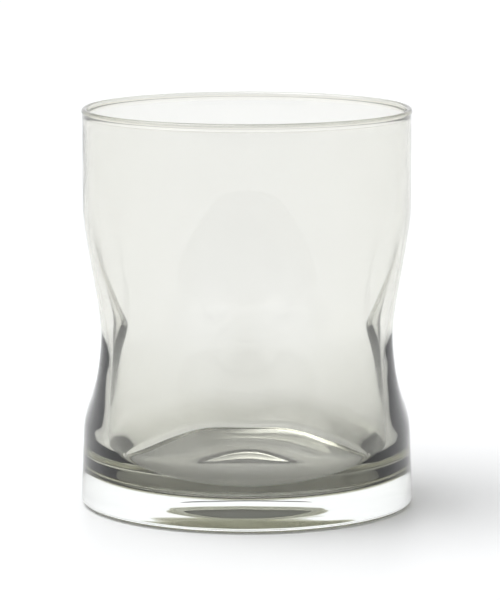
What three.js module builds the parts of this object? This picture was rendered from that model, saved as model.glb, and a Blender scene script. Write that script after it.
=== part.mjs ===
// Mouth-blown whiskey tumbler with four thumb dimples, in millimetres, +Z up, standing on z = 0.
//
// It is cased glass, two glasses blown and fused as one wall. The clear casing is the outside of
// the wall and the whole heavy foot. The smoke-grey lining is a thin skin that covers the floor
// and the inside of the wall, and runs out over the top of the fire-polished lip.
// Nothing is assembled and nothing moves: the two glasses meet face to face all over.

import * as THREE from 'three';

// Outside of the glass
const HEIGHT = 100;
const LIP_RADIUS = 41.2; // outside of the wall, just under the lip
const FOOT_RADIUS = 41.9; // outside of the wall, just over the heel
const FLARE_HEIGHT = 22; // the wall spreads to the foot below this height
const HEEL_ROUNDING = 1.4; // between the wall and the face that it stands on
const LIP_BEAD_RADIUS = 0.75; // fire polishing thickens the lip into a bead

// Wall and floor, both glasses together
const WALL = 1.1; // from the thin height up to the lip bead
const WALL_AT_SHOULDER = 5.2; // where the wall starts to turn into the floor
const THIN_WALL_HEIGHT = 45.6; // the wall thickens below this height
const TAPER_ROUNDING = 3; // softness of the start of that taper
const TAPER_EASING = 0.35; // how much gentler the taper gets on its way down
const FLOOR = 7; // depth of glass from the table to the floor of the bowl
const RING_RISE = 1.6; // from the floor up to the fold that rings it
const RING_REACH = 2.4; // from that fold in to the flat of the floor
const SHOULDER_RISE = 8.6; // from the fold up to the start of the wall
const SHOULDER_REACH = 3.8; // from the wall in to the fold

// Smoke lining, part of that wall and floor
const LINING = 0.5; // in the thin wall
const LINING_AT_SHOULDER = 0.8;
const LINING_ON_FLOOR = 0.45;
const LINING_LIP_ANGLE = THREE.MathUtils.degToRad(30); // where it ends on the lip bead, from outward

// Thumb dimples, one on each of +X, -X, +Y and -Y
const DIMPLE_COUNT = 4;
const DIMPLE_DEPTH = 9.6; // of the crease, from the round of the wall
const CREASE_HEIGHT = 45;
const CREASE_ROUNDING = 1.1;
const DIMPLE_RISE = 29.5; // from the crease up to the round wall
const DIMPLE_DROP = 26; // from the crease down to the round wall
const UPPER_SLOPE = 0.43; // how steeply the wall leaves the crease, upward and downward
const LOWER_SLOPE = 0.35;
const CREASE_SHARPNESS = 2.2; // power that narrows a dimple round the wall, at its crease
const UPPER_NARROWING = 5; // added to that power at the top end of a dimple
const LOWER_NARROWING = 0.8; // added to that power at the bottom end

// Hollow ground and polished into the middle of the underside, where the pontil was
const PONTIL_RADIUS = 14;
const PONTIL_DEPTH = 1;

// Facets
const SEGMENTS = 64; // round the axis, a multiple of the dimple count
const RING_STEPS = 3;
const SHOULDER_STEPS = 4;
const FUSED_STEPS = 7;
const DROP_STEPS = 5;
const RISE_STEPS = 6;
const NECK_STEPS = 2;
const BEAD_STEPS = 6;
const FOOT_STEPS = 2;
const HEEL_STEPS = 4;
const PONTIL_STEPS = 4;

const FOLD_HEIGHT = FLOOR + RING_RISE;
const SHOULDER_HEIGHT = FOLD_HEIGHT + SHOULDER_RISE;
const BEAD_CENTRE = new THREE.Vector2(LIP_RADIUS - WALL / 2, HEIGHT - LIP_BEAD_RADIUS);
const BEAD_FOOT = BEAD_CENTRE.y - 2 * LIP_BEAD_RADIUS; // where the bead has run out into the wall

function steps(from, to, count) {
  return Array.from({ length: count + 1 }, (_, i) => from + ((to - from) * i) / count);
}

// Points of a circular arc in the profile plane, the angle measured from outward towards up.
function arc(centre, radius, fromAngle, toAngle, count) {
  return steps(fromAngle, toAngle, count).map(
    (angle) => new THREE.Vector2(centre.x + radius * Math.cos(angle), centre.y + radius * Math.sin(angle))
  );
}

// Outside of the wall without its dimples: straight, with a smooth step out to the foot.
function outerRadius(z) {
  return FOOT_RADIUS + (LIP_RADIUS - FOOT_RADIUS) * THREE.MathUtils.smoothstep(z, 0, FLARE_HEIGHT);
}

// Depth below the thin wall, with a rounded start.
function taperDepth(z) {
  const below = THIN_WALL_HEIGHT - z;
  return (Math.hypot(below, TAPER_ROUNDING) + below) / 2;
}

// 0 in the thin wall, 1 at the shoulder.
function thickening(z) {
  const share = taperDepth(z) / taperDepth(SHOULDER_HEIGHT);
  return (share * (1 + TAPER_EASING)) / (1 + TAPER_EASING * share);
}

function innerRadius(z) {
  return outerRadius(z) - THREE.MathUtils.lerp(WALL, WALL_AT_SHOULDER, thickening(z));
}

// How far the wall is pressed in along the middle of a dimple at height z, and the power that
// narrows the dimple round the wall there. The depth leaves the rounded crease at the given slope
// and meets the round wall level with it, as a cubic. The power grows as a square.
function dimple(z) {
  const above = z > CREASE_HEIGHT;
  const reach = above ? DIMPLE_RISE : DIMPLE_DROP;
  const slope = ((above ? UPPER_SLOPE : LOWER_SLOPE) * reach) / DIMPLE_DEPTH;
  const u = (Math.hypot(z - CREASE_HEIGHT, CREASE_ROUNDING) - CREASE_ROUNDING) / reach;
  const share = 1 - slope * u + (2 * slope - 3) * u ** 2 + (2 - slope) * u ** 3;
  const depth = u < 1 ? DIMPLE_DEPTH * share : 0;
  const power = CREASE_SHARPNESS + (above ? UPPER_NARROWING : LOWER_NARROWING) * u ** 2;
  return { depth, power };
}

// Heights of the rings up the wall, closest where the dimples fold.
function wallHeights() {
  const foldSpread = 1.6; // gathers the rings towards the crease
  const spread = (fraction) => fraction ** foldSpread;
  const fromCrease = (end) => (fraction) => THREE.MathUtils.lerp(CREASE_HEIGHT, end, spread(fraction));
  const dimpleTop = CREASE_HEIGHT + DIMPLE_RISE;
  const drop = steps(1, 0, DROP_STEPS).map(fromCrease(SHOULDER_HEIGHT));
  const rise = steps(0, 1, RISE_STEPS).map(fromCrease(dimpleTop));
  const neck = steps(dimpleTop, BEAD_FOOT, NECK_STEPS);
  return [...drop, ...rise.slice(1), ...neck.slice(1)];
}

// Where the wall ends and the shoulder starts, and how far the wall leans in for each millimetre down.
const SHOULDER = new THREE.Vector2(innerRadius(SHOULDER_HEIGHT), SHOULDER_HEIGHT);
const LEAN = SHOULDER.x - innerRadius(SHOULDER_HEIGHT - 1);
const FOLD = new THREE.Vector2(SHOULDER.x - SHOULDER_REACH, FOLD_HEIGHT);
const FLAT_RADIUS = FOLD.x - RING_REACH;

// Inside of the bowl, from the axis out over the floor, up the small round to the fold, round the
// shoulder and up the wall.
function bowlProfile() {
  const roundPull = 0.55; // handles of the small round, as a share of its size
  const foldPull = new THREE.Vector2(0.36, 0.2); // handle at the fold, as a share of the shoulder's size
  const wallPull = 0.45 * SHOULDER_RISE; // length of the handle at the wall
  const round = new THREE.CubicBezierCurve(
    new THREE.Vector2(FLAT_RADIUS, FLOOR),
    new THREE.Vector2(FLAT_RADIUS + RING_REACH * roundPull, FLOOR),
    new THREE.Vector2(FOLD.x, FOLD.y - RING_RISE * roundPull),
    FOLD
  );
  const turn = new THREE.CubicBezierCurve(
    FOLD,
    new THREE.Vector2(FOLD.x + SHOULDER_REACH * foldPull.x, FOLD.y + SHOULDER_RISE * foldPull.y),
    new THREE.Vector2(SHOULDER.x - LEAN * wallPull, SHOULDER.y - wallPull),
    SHOULDER
  );
  const wall = wallHeights().map((z) => new THREE.Vector2(innerRadius(z), z));
  return [
    new THREE.Vector2(0, FLOOR),
    ...round.getPoints(RING_STEPS),
    ...turn.getPoints(SHOULDER_STEPS).slice(1),
    ...wall.slice(1),
  ];
}

// Where the two glasses meet: flat under the floor, one smooth curve behind the fold and the
// shoulder, where the smoke glass gathers, then up behind the wall and over to the lip.
function fusedProfile() {
  const under = FLOOR - LINING_ON_FLOOR;
  const edge = SHOULDER.x + LINING_AT_SHOULDER;
  const floorPull = 0.7 * (SHOULDER.x - FLAT_RADIUS); // length of the handle at the floor
  const wallPull = 0.5 * (SHOULDER.y - under); // length of the handle at the wall
  const turn = new THREE.CubicBezierCurve(
    new THREE.Vector2(FLAT_RADIUS, under),
    new THREE.Vector2(FLAT_RADIUS + floorPull, under),
    new THREE.Vector2(edge - LEAN * wallPull, SHOULDER.y - wallPull),
    new THREE.Vector2(edge, SHOULDER.y)
  );
  const wall = wallHeights().map((z) => {
    const lining = THREE.MathUtils.lerp(LINING, LINING_AT_SHOULDER, thickening(z));
    return new THREE.Vector2(innerRadius(z) + lining, z);
  });
  const top = arc(BEAD_CENTRE, LIP_BEAD_RADIUS, LINING_LIP_ANGLE, LINING_LIP_ANGLE, 1)[0];
  const halfway = new THREE.Vector2().lerpVectors(wall.at(-1), top, 0.5);
  return [new THREE.Vector2(0, under), ...turn.getPoints(FUSED_STEPS), ...wall.slice(1), halfway, top];
}

// Clear casing: up the fused face, over the outer edge of the lip, down the outside, round the heel
// and in over the face it stands on to the pontil hollow.
function casingProfile(fused) {
  const lip = arc(BEAD_CENTRE, LIP_BEAD_RADIUS, LINING_LIP_ANGLE, 0, BEAD_STEPS / 2);
  const wall = wallHeights().reverse().map((z) => new THREE.Vector2(outerRadius(z), z));
  const footHeights = steps(SHOULDER_HEIGHT, HEEL_ROUNDING, FOOT_STEPS).slice(1, -1);
  const foot = footHeights.map((z) => new THREE.Vector2(outerRadius(z), z));
  const heelCentre = new THREE.Vector2(FOOT_RADIUS - HEEL_ROUNDING, HEEL_ROUNDING);
  const heel = arc(heelCentre, HEEL_ROUNDING, 0, -Math.PI / 2, HEEL_STEPS);
  const sphereRadius = (PONTIL_RADIUS ** 2 + PONTIL_DEPTH ** 2) / (2 * PONTIL_DEPTH);
  const pontil = steps(PONTIL_RADIUS, 0, PONTIL_STEPS).map((radius) => {
    const rise = Math.sqrt(sphereRadius ** 2 - radius ** 2) - (sphereRadius - PONTIL_DEPTH);
    return new THREE.Vector2(radius, rise);
  });
  pontil[0].y = 0;
  return [...fused, ...lip.slice(1), ...wall, ...foot, ...heel, ...pontil];
}

// Smoke lining: up the fused face, over the lip and back down the inside of the bowl.
function liningProfile(fused, bowl) {
  const lip = arc(BEAD_CENTRE, LIP_BEAD_RADIUS, LINING_LIP_ANGLE, Math.PI, BEAD_STEPS);
  return [...fused, ...lip.slice(1), ...bowl.slice().reverse()];
}

// Presses the dimples into a body of revolution: each point moves straight towards the axis.
function pressDimples(geometry) {
  const position = geometry.attributes.position;
  for (let i = 0; i < position.count; i += 1) {
    const x = position.getX(i);
    const y = position.getY(i);
    const radius = Math.hypot(x, y);
    const { depth, power } = dimple(position.getZ(i));
    if (depth > 0 && radius > 0) {
      const round = (0.5 + 0.5 * Math.cos(DIMPLE_COUNT * Math.atan2(y, x))) ** power;
      const share = (radius - depth * round) / radius;
      position.setXY(i, x * share, y * share);
    }
  }
}

// A profile that runs up the outside of its body is turned as it is. One that runs up the inside of
// its body has each facet reversed to face out, so that both glasses have the same facets where
// they are fused.
function blownGlass(name, profile, runsUpInside, material) {
  const geometry = new THREE.LatheGeometry(profile, SEGMENTS).rotateX(Math.PI / 2);
  pressDimples(geometry);
  if (runsUpInside) {
    const index = geometry.index;
    for (let i = 0; i < index.count; i += 3) {
      const corner = index.getX(i);
      index.setX(i, index.getX(i + 1));
      index.setX(i + 1, corner);
    }
  }
  geometry.computeVertexNormals();
  const mesh = new THREE.Mesh(geometry, material);
  mesh.name = name;
  return mesh;
}

const clearGlass = new THREE.MeshStandardMaterial({ color: 0xf4f8f8, roughness: 0.02, metalness: 0 });
const smokeGlass = new THREE.MeshStandardMaterial({ color: 0xc9c8b8, roughness: 0.02, metalness: 0 });

const bowl = bowlProfile();
const fused = fusedProfile();

const tumbler = new THREE.Group();
tumbler.add(blownGlass('clear_casing', casingProfile(fused), true, clearGlass));
tumbler.add(blownGlass('smoke_lining', liningProfile(fused, bowl), false, smokeGlass));

export default tumbler;
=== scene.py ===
"""Dimpled whiskey tumbler in cased glass: clear casing and heavy foot, smoke-grey lining.

Laid out as a Blender add-on and run as a script. Every surface is a grid of two parameters, worked
out as whole numpy arrays. Sizes are millimetres in the panel and metres in the meshes, +Z up.
"""
import math

import bpy
import numpy as np
from bpy.props import FloatProperty, FloatVectorProperty, IntProperty, PointerProperty
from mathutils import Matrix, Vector


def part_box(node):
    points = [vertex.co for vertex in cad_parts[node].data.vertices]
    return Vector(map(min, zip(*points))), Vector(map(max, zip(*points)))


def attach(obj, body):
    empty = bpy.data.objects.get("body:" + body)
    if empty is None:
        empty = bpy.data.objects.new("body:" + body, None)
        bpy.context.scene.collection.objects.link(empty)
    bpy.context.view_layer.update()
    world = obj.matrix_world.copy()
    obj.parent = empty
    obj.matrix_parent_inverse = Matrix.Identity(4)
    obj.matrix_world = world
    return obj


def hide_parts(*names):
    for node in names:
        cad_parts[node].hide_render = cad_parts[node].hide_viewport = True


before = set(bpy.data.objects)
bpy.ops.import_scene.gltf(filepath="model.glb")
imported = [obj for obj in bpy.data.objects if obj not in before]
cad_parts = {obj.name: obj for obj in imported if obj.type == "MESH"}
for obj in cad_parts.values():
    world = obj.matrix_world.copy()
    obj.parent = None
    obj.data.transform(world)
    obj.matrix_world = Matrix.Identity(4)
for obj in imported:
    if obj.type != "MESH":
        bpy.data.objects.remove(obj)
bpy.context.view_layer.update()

bl_info = {
    "name": "Dimpled cased-glass tumbler",
    "version": (1, 0, 0),
    "blender": (4, 5, 0),
    "location": "3D View > Sidebar > Tumbler",
    "description": "Builds a mouth-blown whiskey tumbler of clear and smoke glass, and its studio",
    "category": "Add Mesh",
}

MM = 0.001
CASING_NODE = "clear_casing"
LINING_NODE = "smoke_lining"
TUMBLER_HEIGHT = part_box(LINING_NODE)[1][2] / MM
FOOT_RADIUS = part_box(CASING_NODE)[1][0] / MM
FUSED_GAP = 0.02  # millimetres of air between the two fused faces

# Handles of the Bezier curves, as shares of the curve's reach or rise.
ROUND_HANDLE = 0.55
FOLD_HANDLE_OUT = 0.36
FOLD_HANDLE_UP = 0.2
SHOULDER_HANDLE = 0.45
FUSED_HANDLE_OUT = 0.7
FUSED_HANDLE_UP = 0.5

# The lip bead meets both sides of the wall this angle, in radians, below its widest points.
BEAD_TUCK = 0.6
NECK_CLEARANCE = 3  # the wall's last ring lies this many bead radii below the lip

# Points along each stretch of a profile, and the powers that gather rings towards the crease.
FLOOR_POINTS = 8
ROUND_POINTS = 10
TURN_POINTS = 16
FUSED_TURN_POINTS = 26
DROP_POINTS = 33
RISE_POINTS = 29
NECK_POINTS = 9
LIP_JOIN_POINTS = 6
OUTER_LIP_POINTS = 12
INNER_LIP_POINTS = 18
FOOT_POINTS = 8
HEEL_POINTS = 12
STANDING_POINTS = 8
PONTIL_POINTS = 12
DROP_GATHERING = 1.4
RISE_GATHERING = 1.5

# Finishes. Lengths in millimetres.
SODA_LIME_IOR = 1.52
GLASS_WAVE = 16.7
GLASS_WAVE_DEPTH = 0.4
GLASS_WAVE_STRENGTH = 0.25
LAMINATE_GRAIN = 3.33
LAMINATE_GRAIN_DEPTH = 0.1
LAMINATE_GRAIN_STRENGTH = 0.1
LAMINATE_SHEEN = (0.38, 0.48)

# Brightness of the surround at the sides and back, on the -Y side, and above.
SURROUND = 1.1
ROOM = 0.45
CEILING = 0.25
ROOM_FADE = (-0.85, -0.35)  # Y of the sightline, from the -Y side's brightness to the others'
CEILING_FADE = (0.25, 0.45)  # Z of the sightline, from the sides to the ceiling

# The light overhead: where it is, the cosine of the angle from its middle where it ends and where it
# is full, and its brightness over the ceiling's.
SOFTBOX_TOWARDS = Vector((-0.38, -0.05, 0.92)).normalized()
SOFTBOX_EDGE = math.cos(math.radians(42))
SOFTBOX_CORE = math.cos(math.radians(12))
SOFTBOX_STRENGTH = 3.9

# Table and camera, in metres and degrees.
TABLE_HALF = 3.0
TABLE_DROP = 0.0002  # a hair under the foot, so that the two faces don't coincide
CAMERA_PLACE = (0.0, -0.9467, 0.1956)
CAMERA_DOWN = 8.67
CAMERA_RIGHT = 0.047
CAMERA_LENS = 228.0
CAMERA_SENSOR = 36.0


# Colour ------------------------------------------------------------------------------------------

def linear(code):
    """Linear RGBA of an sRGB hex colour: each channel over 12.92 when it is dark, and otherwise the
    power 2.4 of the channel plus 0.055, over 1.055."""
    value = [int(code[i:i + 2], 16) / 255 for i in (1, 3, 5)]
    return [c / 12.92 if c <= 0.04045 else ((c + 0.055) / 1.055) ** 2.4 for c in value] + [1.0]


# Settings --------------------------------------------------------------------------------------

def millimetres(name, description, default):
    """A length held in millimetres, as Blender holds its camera lengths."""
    return FloatProperty(name=name, description=description, default=default, min=0.0, precision=2,
                         unit="CAMERA")


def plain(name, description, default):
    """A slope, power or share, which has no unit."""
    return FloatProperty(name=name, description=description, default=default, precision=3)


class TumblerShape(bpy.types.PropertyGroup):
    """Sizes of the blown glass in millimetres."""

    height: millimetres("Height", "Table to the top of the lip", TUMBLER_HEIGHT)
    foot_radius: millimetres("Foot radius", "Outside of the wall just over the heel", FOOT_RADIUS)
    lip_radius: millimetres("Lip radius", "Outside of the wall just under the lip", 41.2)
    flare_height: millimetres("Flare height", "The wall spreads to the foot below this height", 22.0)
    heel_rounding: millimetres("Heel rounding", "Round between the wall and the standing face", 1.4)
    bead_radius: millimetres("Lip bead radius", "Bead that fire polishing leaves on the lip", 0.75)
    wall: millimetres("Wall", "Both glasses together, in the thin part of the wall", 1.1)
    shoulder_wall: millimetres("Wall at shoulder", "Both glasses, where the wall turns into the floor", 5.2)
    thin_height: millimetres("Thin wall height", "The wall thickens below this height", 45.6)
    taper_rounding: millimetres("Taper rounding", "Softness of the start of that taper", 3.0)
    floor: millimetres("Floor", "Depth of glass from the table to the floor of the bowl", 7.0)
    ring_rise: millimetres("Ring rise", "From the floor up to the fold round it", 1.6)
    ring_reach: millimetres("Ring reach", "From that fold in to the flat of the floor", 2.4)
    shoulder_rise: millimetres("Shoulder rise", "From the fold up to the start of the turn", 8.6)
    shoulder_reach: millimetres("Shoulder reach", "From the turn in to the fold", 3.8)
    lining: millimetres("Lining", "Smoke glass in the thin wall", 0.5)
    shoulder_lining: millimetres("Lining at shoulder", "Smoke glass where the wall turns", 0.8)
    floor_lining: millimetres("Floor lining", "Smoke glass on the floor", 0.45)
    lining_lip_angle: FloatProperty(
        name="Lining lip angle", description="Where the smoke glass ends on the lip bead, up from outward",
        default=math.radians(30), subtype="ANGLE")
    dimple_depth: millimetres("Dimple depth", "Crease below the round of the wall", 9.6)
    crease_height: millimetres("Crease height", "Height of the fold in each dimple", 45.0)
    crease_rounding: millimetres("Crease rounding", "Softness of that fold", 1.1)
    dimple_rise: millimetres("Dimple rise", "From the crease up to the round wall", 29.5)
    dimple_drop: millimetres("Dimple drop", "From the crease down to the round wall", 26.0)
    pontil_radius: millimetres("Pontil radius", "Ground hollow in the underside", 14.0)
    pontil_depth: millimetres("Pontil depth", "Depth of that hollow", 1.0)
    upper_slope: plain("Upper slope", "Wall's lean above the crease", 0.43)
    lower_slope: plain("Lower slope", "Wall's lean below the crease", 0.35)
    taper_easing: plain("Taper easing", "How much gentler the taper gets", 0.35)
    sharpness: plain("Crease sharpness", "Power that narrows the crease", 2.2)
    upper_narrowing: plain("Upper narrowing", "Added to that power at the dimple's top", 5.0)
    lower_narrowing: plain("Lower narrowing", "Added to it at the dimple's bottom", 0.8)
    dimples: IntProperty(name="Dimples", description="Thumb dimples round the wall", default=4, min=1)
    around: IntProperty(name="Facets around", description="Mesh facets round the axis", default=384, min=16)


class TumblerLook(bpy.types.PropertyGroup):
    """Colours and strength of the glasses' absorption."""

    smoke: FloatVectorProperty(
        name="Smoke colour", description="Colour that the smoke glass leaves in the light",
        subtype="COLOR", size=4, min=0.0, max=1.0, default=linear("#959359"))
    smoke_density: plain("Smoke density", "How strongly the smoke glass absorbs, per metre", 290.0)
    clear: FloatVectorProperty(
        name="Clear colour", description="Colour that the clear glass leaves in the light",
        subtype="COLOR", size=4, min=0.0, max=1.0, default=linear("#95CBBC"))
    clear_density: plain("Clear density", "How strongly the clear glass absorbs, per metre", 1.0)


# Shape: profiles in (radius, height), millimetres ------------------------------------------------

def outer_radius(s, z):
    """Lip radius, with a smooth step out to the foot radius below the flare height: three times the
    share of that height squared, less twice its cube."""
    share = np.clip(z / s.flare_height, 0.0, 1.0)
    return s.foot_radius + (s.lip_radius - s.foot_radius) * share ** 2 * (3 - 2 * share)


def shoulder_height(s):
    """Where the wall starts to turn in: the floor, the rise to the fold and the rise above it."""
    return s.floor + s.ring_rise + s.shoulder_rise


def thickening(s, z):
    """0 in the thin wall and 1 at the shoulder. The depth below the thin wall, with a rounded start,
    divided by one plus its eased share of the whole depth."""
    def depth(height):
        below = s.thin_height - height
        return 0.5 * (np.hypot(below, s.taper_rounding) + below)

    share = depth(z) / depth(shoulder_height(s))
    return share * (1 + s.taper_easing) / (1 + s.taper_easing * share)


def inner_radius(s, z):
    """Outer radius less the wall, which grows from thin to shoulder by the thickening."""
    return outer_radius(s, z) - (s.wall + (s.shoulder_wall - s.wall) * thickening(s, z))


def pressed_in(s, z):
    """Depth of a dimple at height z, and the power that narrows it round the wall there. The depth is
    a cubic that leaves the rounded crease at the given slope and meets the round wall level with
    it. The power grows from the crease, as a square upwards and a cube downwards."""
    above = z > s.crease_height
    reach = np.where(above, s.dimple_rise, s.dimple_drop)
    slope = np.where(above, s.upper_slope, s.lower_slope) * reach / s.dimple_depth
    u = (np.hypot(z - s.crease_height, s.crease_rounding) - s.crease_rounding) / reach
    u = np.minimum(u, 1.0)
    depth = s.dimple_depth * (1 - slope * u + (2 * slope - 3) * u ** 2 + (2 - slope) * u ** 3)
    power = s.sharpness + np.where(above, s.upper_narrowing * u ** 2, s.lower_narrowing * u ** 2)
    return depth, power


def arc(centre, radius, start, end, count):
    """Points of a circular arc: the centre plus the radius times the cosine of the angle outward and
    times its sine up."""
    angle = np.linspace(start, end, count)
    return np.column_stack([centre[0] + radius * np.cos(angle), centre[1] + radius * np.sin(angle)])


def wall_heights(s):
    """Rings up the wall, gathered towards the crease by a power of their share of the way."""
    shoulder = shoulder_height(s)
    drop = s.crease_height + (shoulder - s.crease_height) * np.linspace(1, 0, DROP_POINTS) ** DROP_GATHERING
    rise = s.crease_height + s.dimple_rise * np.linspace(0, 1, RISE_POINTS) ** RISE_GATHERING
    top = s.height - NECK_CLEARANCE * s.bead_radius
    neck = np.linspace(s.crease_height + s.dimple_rise, top, NECK_POINTS)
    return np.concatenate([drop, rise[1:], neck[1:]])


def bezier(points, count):
    """Cubic Bezier curve: the four points weighted by the terms of (1 - t + t) cubed."""
    t = np.linspace(0, 1, count)[:, None]
    a, b, c, d = (np.array(point) for point in points)
    return (1 - t) ** 3 * a + 3 * t * (1 - t) ** 2 * b + 3 * t ** 2 * (1 - t) * c + t ** 3 * d


def bowl_profile(s):
    """Inside of the bowl: out over the floor, up the small round to the fold, round the shoulder and
    up the wall. The round and the shoulder are cubic Bezier curves."""
    ring_z = s.floor + s.ring_rise
    top = shoulder_height(s)
    shoulder = inner_radius(s, top)
    lean = shoulder - inner_radius(s, top - 1)
    ring = shoulder - s.shoulder_reach
    flat = ring - s.ring_reach
    floor = np.column_stack([np.linspace(0, flat, FLOOR_POINTS)[:-1], np.full(FLOOR_POINTS - 1, s.floor)])
    rounded = bezier([(flat, s.floor), (flat + ROUND_HANDLE * s.ring_reach, s.floor),
                      (ring, ring_z - ROUND_HANDLE * s.ring_rise), (ring, ring_z)], ROUND_POINTS)
    fold = (ring + FOLD_HANDLE_OUT * s.shoulder_reach, ring_z + FOLD_HANDLE_UP * s.shoulder_rise)
    handle = SHOULDER_HANDLE * s.shoulder_rise
    turn = bezier([(ring, ring_z), fold, (shoulder - lean * handle, top - handle), (shoulder, top)],
                  TURN_POINTS)
    z = wall_heights(s)[1:]
    wall = np.column_stack([inner_radius(s, z), z])
    return np.vstack([floor, rounded, turn[1:], wall])


def fused_profile(s, gap):
    """Where the glasses meet: flat under the floor, one smooth cubic Bezier curve behind the fold and
    the shoulder, then up behind the wall and over to the lip bead.

    gap is a hair's breadth, added on one glass only, so that the fused faces don't coincide."""
    top = shoulder_height(s)
    shoulder = inner_radius(s, top)
    lean = shoulder - inner_radius(s, top - 1)
    flat = shoulder - s.shoulder_reach - s.ring_reach
    under = s.floor - s.floor_lining - gap
    reach, rise = shoulder - flat, top - under
    edge = shoulder + s.shoulder_lining + gap
    floor = np.column_stack([np.linspace(0, flat, FLOOR_POINTS)[:-1], np.full(FLOOR_POINTS - 1, under)])
    handle = FUSED_HANDLE_UP * rise
    turn = bezier([(flat, under), (flat + FUSED_HANDLE_OUT * reach, under),
                   (edge - lean * handle, top - handle), (edge, top)], FUSED_TURN_POINTS)
    z = wall_heights(s)[1:]
    lining = s.lining + (s.shoulder_lining - s.lining) * thickening(s, z) + gap
    wall = np.column_stack([inner_radius(s, z) + lining, z])
    end = arc(lip_centre(s), s.bead_radius, s.lining_lip_angle, s.lining_lip_angle, 1)[0]
    share = np.linspace(0, 1, LIP_JOIN_POINTS)[1:, None]
    return np.vstack([floor, turn, wall, wall[-1] + (end - wall[-1]) * share])


def lip_centre(s):
    """Middle of the lip bead: half a wall in from the lip radius, and its own radius below the top."""
    return s.lip_radius - s.wall / 2, s.height - s.bead_radius


def casing_profile(s):
    """Clear glass: up the fused face, over the outer lip, down the wall, round the heel, over the
    standing face and up into the pontil hollow, a cap of the sphere through its edge and its
    middle. Second result: how many points are fused."""
    fused = fused_profile(s, FUSED_GAP)
    lip = arc(lip_centre(s), s.bead_radius, s.lining_lip_angle, -BEAD_TUCK, OUTER_LIP_POINTS)[1:]
    z = wall_heights(s)[::-1]
    wall = np.column_stack([outer_radius(s, z), z])
    foot_z = np.linspace(z[-1], s.heel_rounding, FOOT_POINTS)[1:-1]
    foot = np.column_stack([outer_radius(s, foot_z), foot_z])
    heel_r = s.foot_radius - s.heel_rounding
    heel = arc((heel_r, s.heel_rounding), s.heel_rounding, 0, -math.pi / 2, HEEL_POINTS)
    standing_r = np.linspace(heel_r, s.pontil_radius, STANDING_POINTS)[1:-1]
    standing = np.column_stack([standing_r, np.zeros_like(standing_r)])
    sphere = (s.pontil_radius ** 2 + s.pontil_depth ** 2) / (2 * s.pontil_depth)
    r = np.linspace(s.pontil_radius, 0, PONTIL_POINTS)
    pontil = np.column_stack([r, np.sqrt(sphere ** 2 - r ** 2) - (sphere - s.pontil_depth)])
    return np.vstack([fused, lip, wall, foot, heel, standing, pontil]), len(fused)


def lining_profile(s):
    """Smoke glass: up the fused face, over the lip and down the inside of the bowl. Second result: how
    many points are fused."""
    fused = fused_profile(s, 0.0)
    lip = arc(lip_centre(s), s.bead_radius, s.lining_lip_angle, math.pi + BEAD_TUCK, INNER_LIP_POINTS)[1:]
    return np.vstack([fused, lip, bowl_profile(s)[::-1]]), len(fused)


# Meshes ------------------------------------------------------------------------------------------

def blown_mesh(name, profile, fused_points, s, faces_in):
    """Turns the profile round the axis, and presses each point towards the axis by the dimple's depth
    at its height times a raised cosine of its angle to a power. The two ends are single points on
    the axis. A face attribute marks the fused face, where no light bends."""
    around = s.around
    angle = np.arange(around) * (2 * math.pi / around)
    ring = profile[1:-1]
    depth, power = (value[:, None] for value in pressed_in(s, ring[:, 1]))
    press = (0.5 + 0.5 * np.cos(s.dimples * angle))[None, :] ** power
    radius = ring[:, 0][:, None] - depth * press
    x = radius * np.cos(angle)
    y = radius * np.sin(angle)
    z = np.broadcast_to(ring[:, 1][:, None], x.shape)
    grid = np.stack([x, y, z], axis=-1).reshape(-1, 3)
    start = np.array([[0.0, 0.0, profile[0, 1]]])
    end = np.array([[0.0, 0.0, profile[-1, 1]]])
    points = np.vstack([grid, start, end]) * MM

    rings = len(ring)
    row, column = np.meshgrid(np.arange(rings - 1), np.arange(around), indexing="ij")
    following = (column + 1) % around
    quads = np.stack([row * around + column, row * around + following,
                      (row + 1) * around + following, (row + 1) * around + column], axis=-1).reshape(-1, 4)
    c = np.arange(around)
    n = (c + 1) % around
    first = rings * around
    start_fan = np.column_stack([np.full(around, first), n, c])
    last = (rings - 1) * around
    end_fan = np.column_stack([np.full(around, first + 1), last + c, last + n])
    fans = np.vstack([start_fan, end_fan])
    if faces_in:
        quads = quads[:, ::-1]
        fans = fans[:, ::-1]

    mesh = bpy.data.meshes.new(name)
    mesh.from_pydata(points.tolist(), [], quads.tolist() + fans.tolist())
    fused = np.zeros(len(mesh.polygons), dtype=np.float32)
    fused[: (fused_points - 2) * around] = 1.0
    fused[len(quads): len(quads) + around] = 1.0
    layer = mesh.attributes.new("fused", "FLOAT", "FACE")
    layer.data.foreach_set("value", fused)
    mesh.polygons.foreach_set("use_smooth", np.ones(len(mesh.polygons), dtype=bool))
    mesh.update()
    piece = bpy.data.objects.new(name, mesh)
    bpy.context.scene.collection.objects.link(piece)
    return piece


# Materials ---------------------------------------------------------------------------------------

def node(owner, kind, inputs=None, links=None, **settings):
    """Adds a node: settings are its own properties, inputs are socket values, links are sockets."""
    made = owner.node_tree.nodes.new(kind)
    for key, value in settings.items():
        setattr(made, key, value)
    for key, value in (inputs or {}).items():
        made.inputs[key].default_value = value
    for key, source in (links or {}).items():
        owner.node_tree.links.new(source, made.inputs[key])
    return made


def new_material(name):
    material = bpy.data.materials.new(name)
    material.use_nodes = True
    material.node_tree.nodes.clear()
    return material


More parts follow.
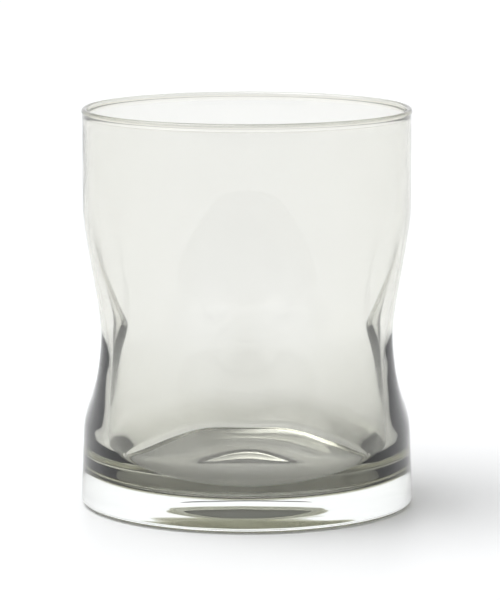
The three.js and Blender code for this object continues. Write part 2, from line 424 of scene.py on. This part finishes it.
def blown_glass(name, colour, density):
    """Soda-lime glass, mouth blown and fire polished: clear and glossy, with a faint waviness every
    17 mm or so that hot glass keeps. On the fused face light goes straight through, because
    both glasses have the same index."""
    material = new_material(name)
    place = node(material, "ShaderNodeTexCoord")
    wave = node(material, "ShaderNodeTexNoise", {"Scale": 1 / (GLASS_WAVE * MM), "Detail": 1.0},
                {"Vector": place.outputs["Object"]})
    bump = node(material, "ShaderNodeBump",
                {"Strength": GLASS_WAVE_STRENGTH, "Distance": GLASS_WAVE_DEPTH * MM},
                {"Height": wave.outputs["Fac"]})
    glass = node(material, "ShaderNodeBsdfPrincipled",
                 {"Base Color": linear("#FFFFFF"), "Roughness": 0.0, "IOR": SODA_LIME_IOR,
                  "Transmission Weight": 1.0},
                 {"Normal": bump.outputs["Normal"]})
    through = node(material, "ShaderNodeBsdfTransparent")
    fused = node(material, "ShaderNodeAttribute", attribute_name="fused")
    surface = node(material, "ShaderNodeMixShader", None,
                   {0: fused.outputs["Fac"], 1: glass.outputs[0], 2: through.outputs[0]})
    body = node(material, "ShaderNodeVolumeAbsorption", {"Color": colour, "Density": density})
    node(material, "ShaderNodeOutputMaterial", None,
         {"Surface": surface.outputs[0], "Volume": body.outputs[0]})
    return material


def table_laminate():
    """White satin laminate: its pressed texture leaves the sheen a little uneven, every 3 mm or so."""
    material = new_material("white_satin_laminate")
    place = node(material, "ShaderNodeTexCoord")
    grain = node(material, "ShaderNodeTexNoise", {"Scale": 1 / (LAMINATE_GRAIN * MM), "Detail": 3.0},
                 {"Vector": place.outputs["Object"]})
    sheen = node(material, "ShaderNodeMapRange", {3: LAMINATE_SHEEN[0], 4: LAMINATE_SHEEN[1]},
                 {0: grain.outputs["Fac"]})
    pressed = node(material, "ShaderNodeBump",
                   {"Strength": LAMINATE_GRAIN_STRENGTH, "Distance": LAMINATE_GRAIN_DEPTH * MM},
                   {"Height": grain.outputs["Fac"]})
    shader = node(material, "ShaderNodeBsdfPrincipled", {"Base Color": linear("#F4F5F6")},
                  {"Roughness": sheen.outputs[0], "Normal": pressed.outputs[0]})
    node(material, "ShaderNodeOutputMaterial", None, {"Surface": shader.outputs[0]})
    return material


def studio_surround():
    """Soft studio all round: white near the horizon, dimmer on the -Y side where the studio is open,
    dim above, and one broad soft-edged light overhead and a little to the -X side. Each fade is a
    smooth step: over the sightline's Y, over its Z, and over the cosine of its angle from the light."""
    world = bpy.data.worlds.new("studio_surround")
    world.use_nodes = True
    world.node_tree.nodes.clear()
    place = node(world, "ShaderNodeTexCoord")
    parts = node(world, "ShaderNodeSeparateXYZ", None, {0: place.outputs["Generated"]})
    sides = node(world, "ShaderNodeMapRange",
                 {1: ROOM_FADE[0], 2: ROOM_FADE[1], 3: ROOM, 4: SURROUND},
                 {0: parts.outputs["Y"]}, interpolation_type="SMOOTHSTEP")
    fade = node(world, "ShaderNodeMapRange",
                {1: CEILING_FADE[0], 2: CEILING_FADE[1], 3: 0.0, 4: 1.0},
                {0: parts.outputs["Z"]}, interpolation_type="SMOOTHSTEP")
    surround = node(world, "ShaderNodeMix", {3: CEILING}, {0: fade.outputs[0], 2: sides.outputs[0]},
                    data_type="FLOAT")
    off_middle = node(world, "ShaderNodeVectorMath", {1: SOFTBOX_TOWARDS},
                      {0: place.outputs["Generated"]}, operation="DOT_PRODUCT")
    softbox = node(world, "ShaderNodeMapRange",
                   {1: SOFTBOX_EDGE, 2: SOFTBOX_CORE, 3: 0.0, 4: SOFTBOX_STRENGTH},
                   {0: off_middle.outputs["Value"]}, interpolation_type="SMOOTHSTEP")
    strength = node(world, "ShaderNodeMath", None, {0: surround.outputs[0], 1: softbox.outputs[0]},
                    operation="ADD")
    background = node(world, "ShaderNodeBackground", {"Color": linear("#FFFFFF")},
                      {"Strength": strength.outputs[0]})
    node(world, "ShaderNodeOutputWorld", None, {"Surface": background.outputs[0]})
    return world


# Operators ---------------------------------------------------------------------------------------

class TUMBLER_OT_casing(bpy.types.Operator):
    """Clear outside of the wall and heavy foot, in place of its CAD solid"""
    bl_idname = "tumbler.casing"
    bl_label = "Clear casing"

    def execute(self, context):
        shape = context.scene.tumbler_shape
        look = context.scene.tumbler_look
        profile, fused_points = casing_profile(shape)
        piece = blown_mesh("clear_casing_glass", profile, fused_points, shape, True)
        piece.data.materials.append(blown_glass("clear_soda_lime_glass", look.clear, look.clear_density))
        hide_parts(CASING_NODE)
        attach(piece, "root")
        return {"FINISHED"}


class TUMBLER_OT_lining(bpy.types.Operator):
    """Smoke lining of the bowl and lip, in place of its CAD solid"""
    bl_idname = "tumbler.lining"
    bl_label = "Smoke lining"

    def execute(self, context):
        shape = context.scene.tumbler_shape
        look = context.scene.tumbler_look
        profile, fused_points = lining_profile(shape)
        piece = blown_mesh("smoke_lining_glass", profile, fused_points, shape, False)
        piece.data.materials.append(blown_glass("smoke_soda_lime_glass", look.smoke, look.smoke_density))
        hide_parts(LINING_NODE)
        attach(piece, "root")
        return {"FINISHED"}


class TUMBLER_OT_studio(bpy.types.Operator):
    """Pale table, soft surround and camera"""
    bl_idname = "tumbler.studio"
    bl_label = "Studio"

    def execute(self, context):
        scene = context.scene
        scene.view_settings.view_transform = "Standard"
        table = bpy.data.meshes.new("table")
        half, z = TABLE_HALF, -TABLE_DROP
        table.from_pydata([(-half, -half, z), (half, -half, z), (half, half, z), (-half, half, z)],
                          [], [(0, 1, 2, 3)])
        floor = bpy.data.objects.new("table", table)
        floor.data.materials.append(table_laminate())
        scene.collection.objects.link(floor)
        scene.world = studio_surround()

        camera = bpy.data.cameras.new("camera")
        camera.lens = CAMERA_LENS
        camera.sensor_width = CAMERA_SENSOR
        viewpoint = bpy.data.objects.new("camera", camera)
        scene.collection.objects.link(viewpoint)
        viewpoint.location = CAMERA_PLACE
        viewpoint.rotation_euler = (math.radians(90 - CAMERA_DOWN), 0.0, -math.radians(CAMERA_RIGHT))
        scene.camera = viewpoint
        return {"FINISHED"}


class TUMBLER_PT_panel(bpy.types.Panel):
    """Lists the sizes, the look and the pieces"""
    bl_idname = "TUMBLER_PT_panel"
    bl_label = "Dimpled tumbler"
    bl_space_type = "VIEW_3D"
    bl_region_type = "UI"
    bl_category = "Tumbler"

    def draw(self, context):
        for group in (context.scene.tumbler_shape, context.scene.tumbler_look):
            for name in group.__annotations__:
                self.layout.prop(group, name)
        for operator in OPERATORS:
            self.layout.operator(operator.bl_idname)


OPERATORS = (TUMBLER_OT_studio, TUMBLER_OT_casing, TUMBLER_OT_lining)
CLASSES = (TumblerShape, TumblerLook, *OPERATORS, TUMBLER_PT_panel)


def register():
    for cls in CLASSES:
        bpy.utils.register_class(cls)
    bpy.types.Scene.tumbler_shape = PointerProperty(type=TumblerShape)
    bpy.types.Scene.tumbler_look = PointerProperty(type=TumblerLook)


def unregister():
    del bpy.types.Scene.tumbler_look
    del bpy.types.Scene.tumbler_shape
    for cls in reversed(CLASSES):
        bpy.utils.unregister_class(cls)


def main():
    register()
    bpy.ops.tumbler.studio()
    bpy.ops.tumbler.casing()
    bpy.ops.tumbler.lining()


if __name__ == "__main__":
    main()
